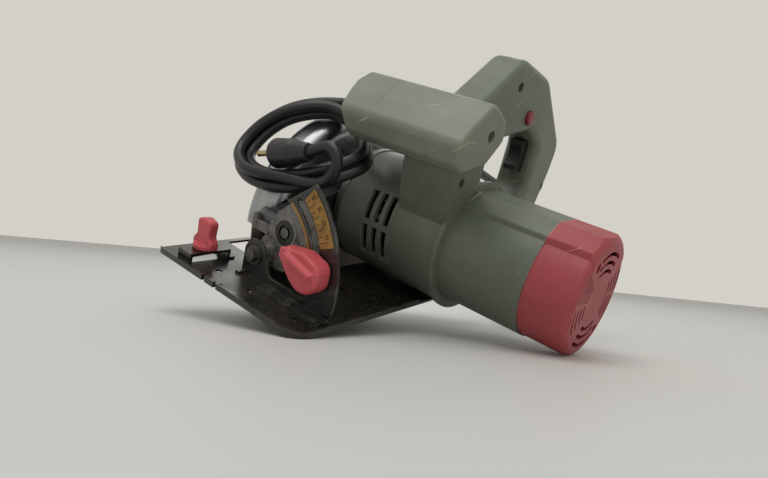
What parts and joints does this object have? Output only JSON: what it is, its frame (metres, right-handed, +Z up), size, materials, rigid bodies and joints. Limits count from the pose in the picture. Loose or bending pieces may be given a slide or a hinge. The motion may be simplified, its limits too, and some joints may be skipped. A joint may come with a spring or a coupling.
{
  "type": "hand-held circular saw",
  "caption": "Corded sidewinder circular saw with D-handle, front grip, sprung lower guard, hinged and tilting sole plate, geared blade and a coiled mains cord.",
  "frame": {"origin": "centre of the bottom of the saw's bounding box, cord left out, with the saw lying on its motor cap, closed lower guard and one corner of its sole", "axes": "+Z up from the table; +X forward along the cut as seen from above; +Y from the blade side towards the motor side"},
  "size_m": [0.4829, 0.306, 0.2478],
  "materials": {
    "gear_casting": "dark oxidised die casting with brighter edges",
    "guard_metal": "dull polished, stained towards the rim",
    "lower_guard_steel": "dark worn sheet",
    "bearing_plate_metal": "plain casting",
    "screw_steel": "dulled",
    "bearing_steel": "ground",
    "housing_plastic": "grey green, fine grain, slightly soiled",
    "grip_plastic": "grey green, handled, with pale scratches",
    "cap_plastic": "faded red, scuffed",
    "knob_plastic": "faded red, worn ridge",
    "button_plastic": "dark red, glossy",
    "trigger_plastic": "black",
    "switch_plastic": "black",
    "laminations": "stacked sheet",
    "copper_winding": "varnished copper wire",
    "commutator_copper": "turned",
    "carbon": "graphite",
    "fan_plastic": "black moulding",
    "shaft_steel": "ground",
    "gear_steel": "cut",
    "blade_steel": "worn, slightly rusty",
    "spring_steel": "wire",
    "bracket_paint": "light grey paint, pitted and dirty",
    "sole_paint": "black gloss paint, scratched, with sawdust",
    "quadrant_paint": "black paint with bright worn edge",
    "scale_brass": "gold brown dial plate",
    "cord_rubber": "soft sheen",
    "plug_rubber": "satin",
    "pin_brass": "bright"
  },
  "bodies": {
    "body": {"gear_housing": "gear_casting", "upper_guard": "guard_metal", "bearing_plate": "bearing_plate_metal", "housing_screws": "screw_steel", "bearings": "bearing_steel", "motor_housing_front": "housing_plastic", "motor_housing_rear": "housing_plastic", "end_cap": "cap_plastic", "field_core": "laminations", "field_coils": "copper_winding", "brush_holders": "commutator_copper", "carbon_brushes": "carbon", "front_grip": "grip_plastic", "front_grip_end": "grip_plastic", "grip_neck": "housing_plastic", "handle_shell_left": "housing_plastic", "handle_shell_right": "housing_plastic", "handle_screws": "screw_steel", "switch_body": "switch_plastic", "trigger_springs": "spring_steel", "lock_button_spring": "spring_steel", "depth_hinge_pin": "screw_steel", "depth_lock_bolt": "screw_steel", "guard_spring": "spring_steel", "guard_circlip": "spring_steel", "strain_relief": "cord_rubber", "cord_lead": "cord_rubber", "cord_coil": "cord_rubber", "plug_body": "plug_rubber", "plug_pins": "pin_brass"},
    "rotor": {"armature_shaft": "shaft_steel", "pinion": "gear_steel", "armature_core": "laminations", "armature_windings": "copper_winding", "commutator": "commutator_copper", "cooling_fan": "fan_plastic"},
    "spindle": {"output_spindle": "shaft_steel", "drive_gear": "gear_steel", "blade_flanges": "shaft_steel", "blade": "blade_steel", "blade_bolt": "screw_steel"},
    "lower_guard": {"lower_guard": "lower_guard_steel", "guard_lever": "lower_guard_steel"},
    "trigger": {"trigger": "trigger_plastic"},
    "lock_button": {"lock_button": "button_plastic"},
    "tilt_frame": {"tilt_bracket": "bracket_paint", "bracket_bush": "plug_rubber", "bracket_fasteners": "screw_steel", "depth_arc": "quadrant_paint"},
    "base": {"sole": "sole_paint", "bevel_quadrant": "quadrant_paint", "rear_pivot_ear": "sole_paint", "sole_rivets": "screw_steel", "bevel_scale": "scale_brass", "pivot_bolts": "screw_steel", "fence_clamp": "sole_paint"},
    "bevel_knob": {"bevel_knob": "knob_plastic"},
    "fence_knob": {"fence_screw": "screw_steel", "fence_knob": "knob_plastic"},
    "depth_lock_lever": {"depth_lock_lever": "trigger_plastic"}
  },
  "joints": [
    {"name": "blade_spin", "type": "hinge", "parent": "body", "child": "spindle", "pos_m": [0.00232, -0.11331, 0.09493], "axis": [-0.0556, 0.9507, -0.305], "continuous": true},
    {"name": "armature_spin", "type": "hinge", "parent": "body", "child": "rotor", "pos_m": [0.00034, 0.0093, 0.08405], "axis": [-0.0556, 0.9507, -0.305], "continuous": true},
    {"name": "guard_swing", "type": "hinge", "parent": "body", "child": "lower_guard", "pos_m": [0.00165, -0.1019, 0.09127], "axis": [-0.0556, 0.9507, -0.305], "range_deg": [0, 110], "stiffness_Nm_per_rad": 0.1, "springref_deg": -114.59},
    {"name": "trigger_pull", "type": "slide", "parent": "body", "child": "trigger", "axis": [-0.9838, 0, 0.1792], "range_m": [0, 0.003], "stiffness_N_per_m": 1200, "springref_m": -0.002},
    {"name": "lock_button_press", "type": "slide", "parent": "body", "child": "lock_button", "axis": [0.0556, -0.9507, 0.305], "range_m": [0, 0.0025], "stiffness_N_per_m": 900, "springref_m": -0.002},
    {"name": "depth_swing", "type": "hinge", "parent": "body", "child": "tilt_frame", "pos_m": [0.10937, -0.08029, 0.07999], "axis": [-0.0556, 0.9507, -0.305], "range_deg": [-30, 0]},
    {"name": "bevel_swing", "type": "hinge", "parent": "tilt_frame", "child": "base", "pos_m": [0.12174, -0.07612, 0.05304], "axis": [0.9838, 0, -0.1792], "range_deg": [-45, 0]},
    {"name": "bevel_knob_turn", "type": "hinge", "parent": "tilt_frame", "child": "bevel_knob", "pos_m": [0.13526, -0.01098, 0.04355], "axis": [0.9838, 0, -0.1792], "range_deg": [0, 120]},
    {"name": "fence_knob_turn", "type": "hinge", "parent": "base", "child": "fence_knob", "pos_m": [0.14486, -0.11814, 0.0572], "axis": [0.1704, 0.31, 0.9353], "range_deg": [0, 270]},
    {"name": "depth_lever_swing", "type": "hinge", "parent": "body", "child": "depth_lock_lever", "pos_m": [-0.08822, -0.06603, 0.11126], "axis": [-0.0556, 0.9507, -0.305], "range_deg": [0, 60]}
  ],
  "couplings": [
    {"joint": "armature_spin", "follows": "blade_spin", "ratio": -3.4}
  ]
}
